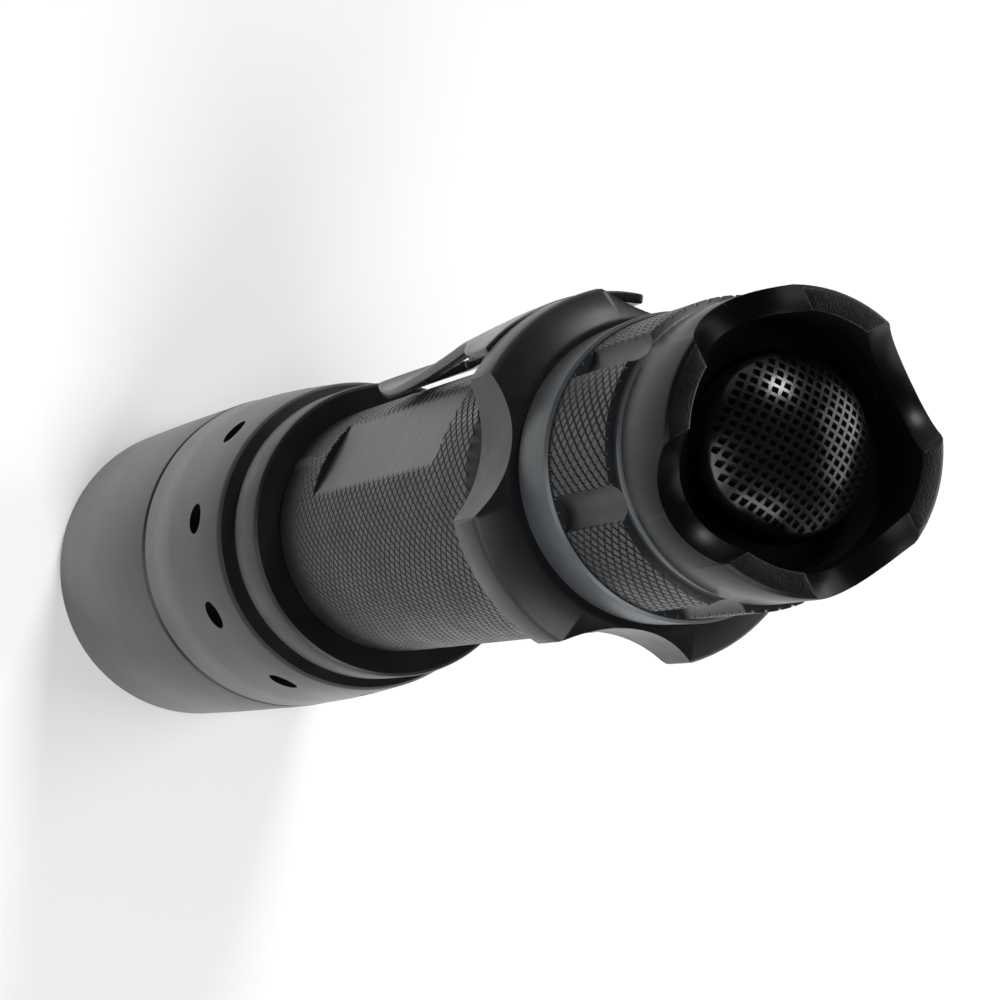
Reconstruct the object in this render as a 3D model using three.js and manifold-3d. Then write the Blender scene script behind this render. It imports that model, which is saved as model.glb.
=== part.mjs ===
// A tactical flashlight, lens down and tail up, as separate pieces.
// Millimetres, +Z up. The origin is the centre of the bezel's front rim, which the light stands on.
import * as THREE from "three";
import { mergeVertices } from "three/addons/utils/BufferGeometryUtils.js";
import Module from "manifold-3d";

const wasm = await Module();
wasm.setup();

// Driving dimensions: radii, and heights above the bezel's rim.
const LENGTH = 160;
const GAP = 0.3;
const BEZEL_RADIUS = 18;
const BEZEL_TOP = 38;
const HEAD_REAR_RADIUS = 16.95;
const HEAD_TOP = 71.2;
const TUBE_RADIUS = 12.7;
const BORE_RADIUS = 9.5;
const THREAD_RADIUS = 10.95;
const TUBE_BOTTOM = 66.5;
const TUBE_TOP = 140.5;
const SHOULDER = 124;
const RING_RADIUS = 16.3;
const RING_TOP = 133.5;
const TAIL_CAP_BOTTOM = RING_TOP + GAP;
const BAND_TOP = 139.7;
const KNURL_RADIUS = 12.5;
const SHELF = 154.8;
const BOOT_RADIUS = 7.15;
const BOOT_HOLE_RADIUS = 7.5;
const CELL_RADIUS = 9.2;
const CELL_BOTTOM = 72.5;
const CELL_LENGTH = 65;
const CELL_TOP = CELL_BOTTOM + CELL_LENGTH;
const LENS_BOTTOM = 4.3;
const EMITTER_HEIGHT = 32;
const REFLECTOR_FOCUS = 1.95;

// Angles round the axis, in degrees from +X.
const CREST_ANGLE = -17.5;
const FLUTE_ANGLE = 20;
const RING_SCALLOP_ANGLE = -8;
const CLIP_ANGLE = 110;
const FLAT_ANGLE = 151;
const DIMPLE_ANGLE = -150.6;

const COARSE = 16;
const ROUND = 24;
const FINE = 40;

const FINISH = {
  anodised: { color: 0x17181a, roughness: 0.45, metalness: 0.6 },
  blackSteel: { color: 0x202124, roughness: 0.35, metalness: 0.8 },
  rubber: { color: 0x0c0c0d, roughness: 0.7, metalness: 0 },
  glass: { color: 0xe8f0f2, roughness: 0.05, metalness: 0 },
  mirror: { color: 0xe6e6e8, roughness: 0.05, metalness: 1 },
  brass: { color: 0xb58a3c, roughness: 0.35, metalness: 1 },
  gold: { color: 0xd0a850, roughness: 0.3, metalness: 1 },
  steel: { color: 0xa8acb0, roughness: 0.3, metalness: 1 },
  board: { color: 0x1f5b34, roughness: 0.6, metalness: 0 },
  starBoard: { color: 0xd9dcdc, roughness: 0.5, metalness: 0.2 },
  phosphor: { color: 0xe8cf4a, roughness: 0.5, metalness: 0 },
  plastic: { color: 0x2a2b2e, roughness: 0.6, metalness: 0 },
  wrap: { color: 0x2c4f8a, roughness: 0.4, metalness: 0 },
  redWire: { color: 0xa02020, roughness: 0.6, metalness: 0 },
  blackWire: { color: 0x151515, roughness: 0.6, metalness: 0 },
};

const flashlight = new THREE.Group();

function addPiece(name, geometry, finish) {
  const mesh = new THREE.Mesh(geometry, new THREE.MeshStandardMaterial(finish));
  mesh.name = name;
  flashlight.add(mesh);
}

// A profile of [radius, height] points turned round the axis, anticlockwise points facing out.
function turned(points, segments = ROUND) {
  const profile = points.map(([radius, height]) => new THREE.Vector2(radius, height));
  return new THREE.LatheGeometry(profile, segments).rotateX(Math.PI / 2);
}

function ring(inner, outer, bottom, top, segments = ROUND) {
  const corners = [[inner, bottom], [outer, bottom], [outer, top], [inner, top]];
  return turned([...corners, corners[0]], segments);
}

function disc(radius, bottom, top, segments = ROUND) {
  return turned([[0, bottom], [radius, bottom], [radius, top], [0, top]], segments);
}

function oRing(radius, thickness, height) {
  return new THREE.TorusGeometry(radius, thickness, 6, ROUND).translate(0, 0, height);
}

function solid(geometry) {
  const plain = geometry.clone();
  plain.deleteAttribute("normal");
  plain.deleteAttribute("uv");
  const merged = mergeVertices(plain);
  const mesh = new wasm.Mesh({
    numProp: 3,
    vertProperties: merged.attributes.position.array,
    triVerts: new Uint32Array(merged.index.array),
  });
  return new wasm.Manifold(mesh);
}

function geometryOf(made) {
  const { vertProperties, triVerts } = made.getMesh();
  const geometry = new THREE.BufferGeometry();
  geometry.setAttribute("position", new THREE.BufferAttribute(vertProperties, 3));
  geometry.setIndex(new THREE.BufferAttribute(triVerts, 1));
  geometry.computeVertexNormals();
  return geometry;
}

function cut(geometry, tools) {
  return geometryOf(tools.reduce((made, tool) => made.subtract(solid(tool)), solid(geometry)));
}

function join(geometries) {
  const [first, ...others] = geometries.map(solid);
  return geometryOf(others.reduce((made, other) => made.add(other), first));
}

// Copies of a tool that lies along +X, turned to equal steps round the axis.
function around(tool, count, firstAngle) {
  return Array.from({ length: count }, (_, i) => {
    const angle = THREE.MathUtils.degToRad(firstAngle + (i * 360) / count);
    return tool.clone().rotateZ(angle);
  });
}

// A round-nosed milling cutter standing on its nose.
function ballCutter(radius, bottom, top) {
  const steps = 4;
  const nose = Array.from({ length: steps + 1 }, (_, i) => {
    const angle = (i / steps) * (Math.PI / 2);
    return [i === 0 ? 0 : radius * Math.sin(angle), bottom + radius * (1 - Math.cos(angle))];
  });
  return turned([...nose, [radius, top], [0, top]], COARSE);
}

// A shape drawn as (height, distance from the axis), extruded across the +X direction.
function sideExtrusion(shape, width) {
  const geometry = new THREE.ExtrudeGeometry(shape, { depth: width, bevelEnabled: false, steps: 1 });
  const basis = new THREE.Matrix4().makeBasis(
    new THREE.Vector3(0, 0, 1),
    new THREE.Vector3(1, 0, 0),
    new THREE.Vector3(0, 1, 0),
  );
  return geometry.translate(0, 0, -width / 2).applyMatrix4(basis);
}

// A curved block between two radii, centred on +X.
function sector(inner, outer, halfAngle, bottom, top) {
  const half = THREE.MathUtils.degToRad(halfAngle);
  const shape = new THREE.Shape();
  shape.absarc(0, 0, outer, -half, half, false);
  shape.absarc(0, 0, inner, half, -half, true);
  const options = { depth: top - bottom, bevelEnabled: false, steps: 1, curveSegments: 10 };
  return new THREE.ExtrudeGeometry(shape, options).translate(0, 0, bottom);
}

class Coil extends THREE.Curve {
  constructor(bottomRadius, topRadius, bottom, top, turns) {
    super();
    Object.assign(this, { bottomRadius, topRadius, bottom, top, turns });
  }

  getPoint(t) {
    const angle = 2 * Math.PI * this.turns * t;
    const radius = THREE.MathUtils.lerp(this.bottomRadius, this.topRadius, t);
    const height = THREE.MathUtils.lerp(this.bottom, this.top, t);
    return new THREE.Vector3(radius * Math.cos(angle), radius * Math.sin(angle), height);
  }
}

function swept(path, radius, sides, steps) {
  const section = new THREE.Shape();
  section.absarc(0, 0, radius, 0, 2 * Math.PI, false);
  const options = { extrudePath: path, steps, curveSegments: sides / 2, bevelEnabled: false };
  return new THREE.ExtrudeGeometry(section, options);
}

function coilSpring(bottomRadius, topRadius, bottom, top, turns, wire) {
  const stepsPerTurn = 12;
  const path = new Coil(bottomRadius, topRadius, bottom + wire, top - wire, turns);
  return swept(path, wire, 6, Math.round(turns * stepsPerTurn));
}

// Bezel: a threaded sleeve whose lip holds the lens.
const BEZEL_BORE = 15.9;
const BEZEL_THREAD = 16.9;
const LIP_TOP = 3.2;

function addBezel() {
  const threadStart = 29.6;
  const profile = [
    [15, 0], [17.3, 0], [BEZEL_RADIUS, 0.8], [BEZEL_RADIUS, 16], [17.8, BEZEL_TOP - 0.8], [17.4, BEZEL_TOP],
    [BEZEL_THREAD, BEZEL_TOP], [BEZEL_THREAD, threadStart], [BEZEL_BORE, threadStart],
    [BEZEL_BORE, LIP_TOP], [14.2, LIP_TOP], [15, 0],
  ];
  addPiece("bezel_ring", turned(profile, FINE), FINISH.anodised);
}

function addLens() {
  const lensTop = LENS_BOTTOM + 2;
  addPiece("lens", disc(15.6, LENS_BOTTOM, lensTop), FINISH.glass);
  addPiece("lens_gasket", ring(14.5, 15.5, LIP_TOP + GAP, LENS_BOTTOM - GAP), FINISH.rubber);
}

// A parabola round the emitter, with a lip under the lens and a flat foot on the star board.
function addReflector() {
  const front = LENS_BOTTOM + 2 + GAP;
  const foot = EMITTER_HEIGHT + 1.4;
  const footRadius = 8;
  const holeRadius = 2.6;
  const wall = 0.9;
  const steps = 7;
  const bowlDepth = (radius) => radius ** 2 / (4 * REFLECTOR_FOCUS);
  const vertex = EMITTER_HEIGHT + REFLECTOR_FOCUS;
  const frontRadius = Math.sqrt(4 * REFLECTOR_FOCUS * (vertex - front));
  const bowl = (from, to, offset) =>
    Array.from({ length: steps + 1 }, (_, i) => {
      const radius = THREE.MathUtils.lerp(from, to, i / steps);
      return [radius + offset, vertex - bowlDepth(radius)];
    });
  const lipTop = front + 2;
  const lipRadius = Math.sqrt(4 * REFLECTOR_FOCUS * (vertex - lipTop));
  const profile = [
    [frontRadius, front], [BEZEL_BORE - GAP, front], [BEZEL_BORE - GAP, lipTop],
    ...bowl(lipRadius, footRadius - wall, wall),
    [footRadius, foot], [holeRadius, foot], ...bowl(holeRadius, frontRadius, 0),
  ];
  addPiece("reflector", turned(profile), FINISH.mirror);
}

function addEmitter() {
  const base = new THREE.BoxGeometry(3.2, 3.2, 0.9).translate(0, 0, EMITTER_HEIGHT + 0.95);
  const domeTip = EMITTER_HEIGHT - 0.7;
  const domeProfile = [
    [0, domeTip], [0.65, domeTip + 0.17], [1.13, domeTip + 0.65], [1.3, domeTip + 1.3], [0, domeTip + 1.3],
  ];
  const dome = turned(domeProfile, COARSE);
  addPiece("led_emitter", join([base, dome]), FINISH.phosphor);
  const boardBottom = EMITTER_HEIGHT + 1.7;
  addPiece("led_star_board", disc(8.6, boardBottom, boardBottom + 1.6), FINISH.starBoard);
}

// Heat sink: a flange on the head's inner shelf, and a cup behind it for the driver board.
const SHELF_IN_HEAD = 38.9;
const SINK_TOP = 61;
const WIRE_OFFSET = 5;

function addHeatSink() {
  const bottom = EMITTER_HEIGHT + 3.6;
  const bodyRadius = 13;
  const profile = [
    [0, bottom], [15, bottom], [15, SHELF_IN_HEAD - GAP], [bodyRadius, SHELF_IN_HEAD - GAP],
    [bodyRadius, SINK_TOP], [10.6, SINK_TOP], [10.6, 50], [0, 50],
  ];
  const wireHole = new THREE.CylinderGeometry(1.2, 1.2, 20, 12).rotateX(Math.PI / 2);
  wireHole.translate(WIRE_OFFSET, 0, 43);
  addPiece("heat_sink", cut(turned(profile), around(wireHole, 2, 0)), FINISH.brass);
}

function addDriver() {
  const boardBottom = 58.4;
  const boardTop = boardBottom + 1.6;
  addPiece("driver_board", disc(10.2, boardBottom, boardTop), FINISH.board);
  const wires = { led_wire_positive: [1, FINISH.redWire], led_wire_negative: [-1, FINISH.blackWire] };
  for (const [name, [side, finish]] of Object.entries(wires)) {
    const points = [[5, 36.2], [5, 49], [5.8, 54], [6.5, 58.1]];
    const path = new THREE.CatmullRomCurve3(
      points.map(([offset, height]) => new THREE.Vector3(side * offset, 0, height)),
    );
    addPiece(name, swept(path, 0.5, 8, 10), finish);
  }
  const springTop = CELL_BOTTOM - 1.9;
  addPiece("driver_spring", coilSpring(5.4, 2.8, boardTop + GAP, springTop, 4.5, 0.45), FINISH.gold);
  addPiece("contact_ring", ring(10.9, 12.9, SINK_TOP + GAP, TUBE_BOTTOM - GAP), FINISH.brass);
}

// Head: a male thread for the bezel, ten dimples, one cooling groove and a rear collar.
const HEAD_BORE = 13.3;
const NECK_RADIUS = 16.5;

function addHead() {
  const profile = [
    [15.3, 30], [NECK_RADIUS, 30], [NECK_RADIUS, 35.6], [15.8, 35.6], [15.8, 37.4], [NECK_RADIUS, 37.4],
    [NECK_RADIUS, BEZEL_TOP + GAP], [17.2, BEZEL_TOP + GAP], [17.7, BEZEL_TOP + 0.8], [17.4, 48],
    [HEAD_REAR_RADIUS, 56], [16.5, 61.8], [16.2, 62.6], [14.7, 63], [14.7, 64.6], [15.35, 64.9],
    [15.35, HEAD_TOP - 0.4], [15, HEAD_TOP], [12.6, HEAD_TOP], [12.6, TUBE_BOTTOM],
    [HEAD_BORE, TUBE_BOTTOM - GAP], [HEAD_BORE, SHELF_IN_HEAD], [15.3, SHELF_IN_HEAD], [15.3, 30],
  ];
  const dimpleSphere = 1.6;
  const dimpleDepth = 0.6;
  const dimpleHeight = 55.4;
  const dimple = new THREE.SphereGeometry(dimpleSphere, 10, 6);
  dimple.translate(HEAD_REAR_RADIUS + 0.1 + dimpleSphere - dimpleDepth, 0, dimpleHeight);
  addPiece("head_shell", cut(turned(profile, FINE), around(dimple, 10, DIMPLE_ANGLE)), FINISH.anodised);
  addPiece("bezel_o_ring", oRing(16.35, 0.42, 36.5), FINISH.rubber);
  addPiece("head_o_ring", oRing(11.95, 0.45, 69.25), FINISH.rubber);
}

// Battery tube: grip with two milled flats, shoulder, and the tail thread.
function addTube() {
  const oRingFloor = 10.3;
  const profile = [
    [BORE_RADIUS, TUBE_BOTTOM], [11.9, TUBE_BOTTOM], [12.2, 66.8], [12.2, 68.2], [11.3, 68.2],
    [11.3, 70.3], [12.2, 70.3], [12.2, HEAD_TOP + GAP], [TUBE_RADIUS - 0.2, HEAD_TOP + GAP],
    [TUBE_RADIUS, HEAD_TOP + 0.5], [TUBE_RADIUS, 122],
    [12.1, SHOULDER], [THREAD_RADIUS, SHOULDER], [THREAD_RADIUS, 134.4], [oRingFloor, 134.4],
    [oRingFloor, 136], [THREAD_RADIUS, 136], [THREAD_RADIUS, TUBE_TOP - 0.3],
    [THREAD_RADIUS - 0.3, TUBE_TOP], [BORE_RADIUS, TUBE_TOP], [BORE_RADIUS, TUBE_BOTTOM],
  ];
  const flatDistance = 11.94;
  const flatOutline = new THREE.Shape();
  const flatStart = 81.5;
  flatOutline.moveTo(flatStart, flatDistance);
  flatOutline.lineTo(113.6, flatDistance);
  flatOutline.lineTo(117, flatDistance + 1.6);
  flatOutline.lineTo(117, 18);
  flatOutline.lineTo(flatStart, 18);
  const flats = around(sideExtrusion(flatOutline, 16), 2, FLAT_ANGLE);
  addPiece("body_tube", cut(turned(profile, FINE), flats), FINISH.anodised);
  addPiece("tail_o_ring", oRing(10.8, 0.4, 135.2), FINISH.rubber);
}

function addCell() {
  addPiece("battery_cell", disc(CELL_RADIUS, CELL_BOTTOM, CELL_TOP), FINISH.wrap);
  addPiece("battery_button", disc(2.9, CELL_BOTTOM - 1.6, CELL_BOTTOM - GAP, COARSE), FINISH.steel);
}

// Tactical ring: a collar with four finger scallops and a sloped rear face.
const RING_BOTTOM = 126.8;

function addTacticalRing() {
  const bore = THREAD_RADIUS + GAP;
  const profile = [
    [bore, RING_BOTTOM], [15.9, RING_BOTTOM], [RING_RADIUS, RING_BOTTOM + 0.4],
    [RING_RADIUS, 131.5], [13.1, RING_TOP], [bore, RING_TOP], [bore, RING_BOTTOM],
  ];
  const scallopRadius = 10.7;
  const scallopFloor = 13.2;
  const scallop = new THREE.CylinderGeometry(scallopRadius, scallopRadius, 12, COARSE).rotateX(Math.PI / 2);
  scallop.translate(scallopFloor + scallopRadius, 0, 130);
  addPiece("tactical_ring", cut(turned(profile, FINE), around(scallop, 4, RING_SCALLOP_ANGLE)), FINISH.anodised);
}

// Pocket clip: a collar held behind the tactical ring, and the springy arm that it carries.
const CLIP_TOP = RING_BOTTOM - GAP;
const CLIP_THICKNESS = 0.9;
const CLIP_ROOT_RADIUS = 15.3;

function addClip() {
  const bottom = SHOULDER + 0.4;
  const collar = ring(THREAD_RADIUS + GAP, 12.3, bottom, CLIP_TOP);
  const riser = sector(12, CLIP_ROOT_RADIUS - GAP, 16, bottom, CLIP_TOP);
  const turnToClip = THREE.MathUtils.degToRad(CLIP_ANGLE);
  addPiece("clip_collar", join([collar, riser]).rotateZ(turnToClip), FINISH.blackSteel);

  const rootOuter = CLIP_ROOT_RADIUS + 1.3;
  const root = sector(CLIP_ROOT_RADIUS, rootOuter, 29, 120.5, CLIP_TOP);
  // Outer face of the arm, as [height, distance from the axis], from the root to the upturned tip.
  const outerFace = [[124, 16.6], [120.5, 16.4], [114, 15.6], [106, 14.8], [98, 14.15], [92.5, 14.05], [89, 14.9]];
  const spline = new THREE.SplineCurve(outerFace.map(([height, out]) => new THREE.Vector2(height, out)));
  const outer = spline.getPoints(18);
  const inner = outer.map((point) => new THREE.Vector2(point.x, point.y - CLIP_THICKNESS)).reverse();
  const armWidth = 10;
  const arm = sideExtrusion(new THREE.Shape([...outer, ...inner]), armWidth);
  const slotWidth = 5.6;
  const slotOutline = new THREE.Shape();
  slotOutline.absarc(-7, 0, slotWidth / 2, Math.PI / 2, (3 * Math.PI) / 2, false);
  slotOutline.absarc(7, 0, slotWidth / 2, -Math.PI / 2, Math.PI / 2, false);
  const slot = new THREE.ExtrudeGeometry(slotOutline, { depth: 8, bevelEnabled: false, curveSegments: 8 });
  slot.rotateY(Math.PI / 2).translate(11, 0, 105);
  addPiece("clip_arm", cut(join([root, arm]), [slot]).rotateZ(turnToClip), FINISH.blackSteel);
}

// Tail cap: band, fluted grip, shoulder and a recess whose rim is scalloped into four crests.
function addTailCap() {
  const threadBore = THREAD_RADIUS + 0.35;
  const profile = [
    [threadBore, TAIL_CAP_BOTTOM], [12.45, TAIL_CAP_BOTTOM], [12.7, TAIL_CAP_BOTTOM + 0.25],
    [12.88, BAND_TOP - 0.2], [KNURL_RADIUS, BAND_TOP + 0.1], [KNURL_RADIUS, 150.75], [12.3, 150.95],
    [11.5, 151.05], [11.5, 152.1], [11.96, 152.4], [11.96, LENGTH - 0.5], [11.5, LENGTH], [9.92, LENGTH],
    [9.92, SHELF], [BOOT_HOLE_RADIUS, SHELF], [BOOT_HOLE_RADIUS, SHELF - 1.4], [10, SHELF - 1.4],
    [10, TUBE_TOP + 0.7], [threadBore, TUBE_TOP + 0.7], [threadBore, TAIL_CAP_BOTTOM],
  ];
  const scallopRadius = 5.84;
  const scallopDepth = 3;
  const scallop = new THREE.CylinderGeometry(scallopRadius, scallopRadius, 10, ROUND).rotateZ(Math.PI / 2);
  scallop.translate(11, 0, LENGTH - scallopDepth + scallopRadius);
  const fluteRadius = 2;
  const fluteDepth = 0.83;
  const fluteStart = 138.5;
  const flute = ballCutter(fluteRadius, fluteStart, 151.6);
  flute.translate(KNURL_RADIUS + fluteRadius - fluteDepth, 0, 0);
  const tools = [...around(scallop, 4, CREST_ANGLE + 45), ...around(flute, 6, FLUTE_ANGLE)];
  addPiece("tail_cap", cut(turned(profile, FINE), tools), FINISH.anodised);
}

// Boot: a flange clamped under the shelf, and the domed button that travels in the hole.
function addBoot() {
  const outer = BOOT_HOLE_RADIUS + 2.2;
  const inner = BOOT_RADIUS + GAP;
  addPiece("boot_flange", ring(inner, outer, 152.5, SHELF - 1.4 - GAP), FINISH.rubber);
  addPiece("boot_washer", ring(inner, outer, 151.6, 152.2), FINISH.plastic);
  const wallTop = 156.8;
  const domeRise = LENGTH - 0.1 - wallTop;
  const wall = 1.2;
  const dome = (radius, rise) => {
    const sphere = (radius ** 2 + rise ** 2) / (2 * rise);
    const spread = Math.asin(radius / sphere);
    const steps = 5;
    return Array.from({ length: steps }, (_, i) => {
      const angle = spread * (1 - i / (steps - 1));
      const reach = i === steps - 1 ? 0 : sphere * Math.sin(angle);
      return [reach, wallTop + rise - sphere * (1 - Math.cos(angle))];
    });
  };
  const skirt = 153.6;
  const profile = [
    [BOOT_RADIUS - wall, skirt], [BOOT_RADIUS, skirt], ...dome(BOOT_RADIUS, domeRise),
    ...dome(BOOT_RADIUS - wall, domeRise - wall).reverse(), [BOOT_RADIUS - wall, skirt],
  ];
  addPiece("boot_dome", turned(profile), FINISH.rubber);
}

// Switch: a click module under the boot, held by a threaded ring against the washer.
function addSwitch() {
  const bodyBottom = 143.6;
  const bodyTop = 151.3;
  const floor = bodyBottom + 1;
  const well = 3.3;
  const bodyProfile = [
    [0, bodyBottom], [8.8, bodyBottom], [8.8, bodyTop], [well, bodyTop], [well, floor], [0, floor],
  ];
  addPiece("switch_body", turned(bodyProfile), FINISH.plastic);
  const stemBottom = 147.8;
  const plungerProfile = [
    [0, stemBottom], [2.7, stemBottom], [2.7, 154.4], [4.6, 154.4], [4.6, 155.8], [3, 157], [0, 157.4],
  ];
  addPiece("switch_plunger", turned(plungerProfile, COARSE), FINISH.plastic);
  addPiece("switch_spring", coilSpring(2.3, 2.3, floor + 0.2, stemBottom - 0.2, 3, 0.25), FINISH.steel);
  const boardBottom = bodyBottom - GAP - 1;
  addPiece("switch_board", disc(9.3, boardBottom, boardBottom + 1), FINISH.board);
  const ringTop = boardBottom - GAP;
  const notch = new THREE.BoxGeometry(3, 1.6, 1).translate(8, 0, ringTop - 0.9);
  const retainer = ring(7.2, 9.7, ringTop - 1, ringTop);
  addPiece("switch_retaining_ring", cut(retainer, around(notch, 2, 0)), FINISH.brass);
  addPiece("tail_spring", coilSpring(3.4, 6, CELL_TOP + GAP, boardBottom - GAP, 3, 0.45), FINISH.gold);
}

addBezel();
addLens();
addReflector();
addEmitter();
addHeatSink();
addDriver();
addHead();
addTube();
addCell();
addTacticalRing();
addClip();
addTailCap();
addBoot();
addSwitch();

export default flashlight;
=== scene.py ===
"""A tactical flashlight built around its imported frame, laid out as a Blender add-on.

Sizes are in metres. Profiles are given in millimetres, as [radius, height] above the bezel's rim.
"""

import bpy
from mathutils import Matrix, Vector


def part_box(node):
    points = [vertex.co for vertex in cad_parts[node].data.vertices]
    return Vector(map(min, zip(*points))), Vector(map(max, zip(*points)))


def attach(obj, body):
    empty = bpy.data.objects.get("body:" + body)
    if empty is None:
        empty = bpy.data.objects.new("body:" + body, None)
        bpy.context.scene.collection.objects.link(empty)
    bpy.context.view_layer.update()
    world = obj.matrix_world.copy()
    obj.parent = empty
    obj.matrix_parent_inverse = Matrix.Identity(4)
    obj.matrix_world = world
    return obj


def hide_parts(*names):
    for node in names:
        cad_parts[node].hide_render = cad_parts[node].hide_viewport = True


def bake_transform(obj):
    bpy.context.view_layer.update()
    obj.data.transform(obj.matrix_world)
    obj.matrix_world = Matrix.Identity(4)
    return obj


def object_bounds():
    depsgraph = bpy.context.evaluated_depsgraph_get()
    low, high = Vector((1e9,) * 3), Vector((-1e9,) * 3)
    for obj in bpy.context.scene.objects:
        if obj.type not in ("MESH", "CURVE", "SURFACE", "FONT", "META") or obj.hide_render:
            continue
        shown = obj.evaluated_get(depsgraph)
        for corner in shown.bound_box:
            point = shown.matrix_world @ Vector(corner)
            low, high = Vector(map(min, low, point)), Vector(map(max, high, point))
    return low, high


bl_info = {
    "name": "Tactical Flashlight",
    "version": (1, 0, 0),
    "blender": (4, 5, 0),
    "location": "View3D > Sidebar > Flashlight",
    "description": "Builds a knurled tactical flashlight around its packed frame",
    "category": "Add Mesh",
}

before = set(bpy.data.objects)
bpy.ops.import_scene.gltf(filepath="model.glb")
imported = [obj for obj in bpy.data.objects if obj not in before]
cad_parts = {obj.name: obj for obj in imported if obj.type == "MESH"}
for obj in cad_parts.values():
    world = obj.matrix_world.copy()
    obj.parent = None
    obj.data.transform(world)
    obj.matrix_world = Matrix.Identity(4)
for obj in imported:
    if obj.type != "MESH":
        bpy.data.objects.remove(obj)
cad_low, cad_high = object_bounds()

import math

import bpy
from bpy.props import FloatProperty, FloatVectorProperty, IntProperty, PointerProperty
from mathutils import Matrix, Vector

MM = 0.001
TAU = 2 * math.pi
FINE_STEPS = 144
ROUND_STEPS = 96
MERGE_DISTANCE = 1e-6
GRAIN_HEIGHT = 0.00002
LATHE_RING_HEIGHT = 0.00003


# ---------------------------------------------------------------- places read from the frame


def span(node):
    """Lowest and highest height of a CAD node, in millimetres."""
    low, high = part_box(node)
    return low[2] / MM, high[2] / MM


def reach(node):
    """Outer radius of a turned CAD node, in millimetres."""
    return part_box(node)[1][0] / MM


LENGTH = span("tail_cap")[1]
BEZEL_TOP = span("bezel_ring")[1]
BEZEL_RADIUS = reach("bezel_ring")
HEAD_TOP = span("head_shell")[1]
TUBE_BOTTOM, TUBE_TOP = span("body_tube")
RING_BOTTOM, RING_TOP = span("tactical_ring")
CLIP_TOP = span("clip_collar")[1]
SHOULDER = span("clip_collar")[0] - 0.4
CAP_BOTTOM = span("tail_cap")[0]
TUBE_RADIUS = 12.7
THREAD_RADIUS = 10.95
BORE_RADIUS = 9.5
KNURL_RADIUS = 12.5
THREAD_PITCH = 1.5
KNURL_SEAT = 0.4
SLEEVE_OVERLAP = 0.6
FLAT_DISTANCE = 11.94
# Height behind which the head's rear is given a darker finish as painted shade.
NECK_SHADE_START = 62.5
DIMPLES, FLUTES, CRESTS, FLATS = 10, 6, 4, 2

CREST_ANGLE = -17.5
FLUTE_ANGLE = 20
RING_SCALLOP_ANGLE = -8
CLIP_ANGLE = 110
FLAT_ANGLE = 151
DIMPLE_ANGLE = -150.6
PIT_ANGLE = -30


# ---------------------------------------------------------------- modelling helpers


def deselect_all():
    if bpy.context.mode != "OBJECT":
        bpy.ops.object.mode_set(mode="OBJECT")
    bpy.ops.object.select_all(action="DESELECT")


def activate(piece):
    deselect_all()
    bpy.context.view_layer.objects.active = piece
    piece.select_set(True)


def edit(piece):
    activate(piece)
    bpy.ops.object.mode_set(mode="EDIT")


def leave_edit():
    bpy.ops.object.mode_set(mode="OBJECT")


def new_point(name):
    """An object at the origin that holds one point, in edit mode."""
    deselect_all()
    bpy.ops.mesh.primitive_plane_add(size=MM)
    piece = bpy.context.object
    piece.name = name
    piece.data.name = name
    bpy.ops.object.mode_set(mode="EDIT")
    bpy.ops.mesh.merge(type="CENTER")
    return piece


def draw_line(points):
    """Moves the one point to the first place and extrudes it through the others."""
    bpy.ops.transform.translate(value=points[0])
    for start, end in zip(points, points[1:]):
        bpy.ops.mesh.extrude_region_move(TRANSFORM_OT_translate={"value": end - start})


def tidy_mesh():
    """In edit mode: merges doubles and turns all faces outwards."""
    bpy.ops.mesh.select_all(action="SELECT")
    bpy.ops.mesh.remove_doubles(threshold=MERGE_DISTANCE)
    bpy.ops.mesh.normals_make_consistent(inside=False)


def spun(name, profile, steps=ROUND_STEPS, turn=TAU, start=0.0):
    """A profile of [radius, height] in millimetres spun round the axis."""
    piece = new_point(name)
    heading = Vector((math.cos(start), math.sin(start), 0))
    draw_line([heading * radius * MM + Vector((0, 0, height * MM)) for radius, height in profile])
    bpy.ops.mesh.select_all(action="SELECT")
    bpy.ops.mesh.spin(steps=steps, angle=turn, center=(0, 0, 0), axis=(0, 0, 1))
    tidy_mesh()
    if turn < TAU:
        bpy.ops.mesh.select_all(action="DESELECT")
        bpy.ops.mesh.select_mode(type="EDGE")
        bpy.ops.mesh.select_non_manifold()
        bpy.ops.mesh.edge_face_add()
        bpy.ops.mesh.select_mode(type="VERT")
        tidy_mesh()
    leave_edit()
    return piece


def prism(name, outline, depth):
    """A closed outline of points in metres, filled and extruded by a vector."""
    piece = new_point(name)
    draw_line(outline + outline[:1])
    bpy.ops.mesh.select_all(action="SELECT")
    bpy.ops.mesh.remove_doubles(threshold=1e-7)
    bpy.ops.mesh.edge_face_add()
    bpy.ops.mesh.extrude_region_move(TRANSFORM_OT_translate={"value": depth})
    tidy_mesh()
    leave_edit()
    return piece


def place(piece, angle=0.0, offset=(0, 0, 0)):
    """Moves a piece by an offset, turns it round the axis by degrees, and applies both."""
    activate(piece)
    piece.matrix_world = Matrix.Rotation(math.radians(angle), 4, "Z") @ Matrix.Translation(Vector(offset) * MM)
    bpy.ops.object.transform_apply(location=True, rotation=True, scale=True)
    return piece


def copies_around(tool, count, first_angle):
    """Turns a tool that lies along +X to equal steps round the axis and joins the copies."""
    tools = []
    for step in range(count):
        copy = tool.copy()
        copy.data = tool.data.copy()
        bpy.context.collection.objects.link(copy)
        tools.append(place(copy, first_angle + step * 360 / count))
    bpy.data.objects.remove(tool)
    return joined(tools)


def joined(pieces):
    deselect_all()
    for piece in pieces:
        piece.select_set(True)
    bpy.context.view_layer.objects.active = pieces[0]
    if len(pieces) > 1:
        bpy.ops.object.join()
    return pieces[0]


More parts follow.
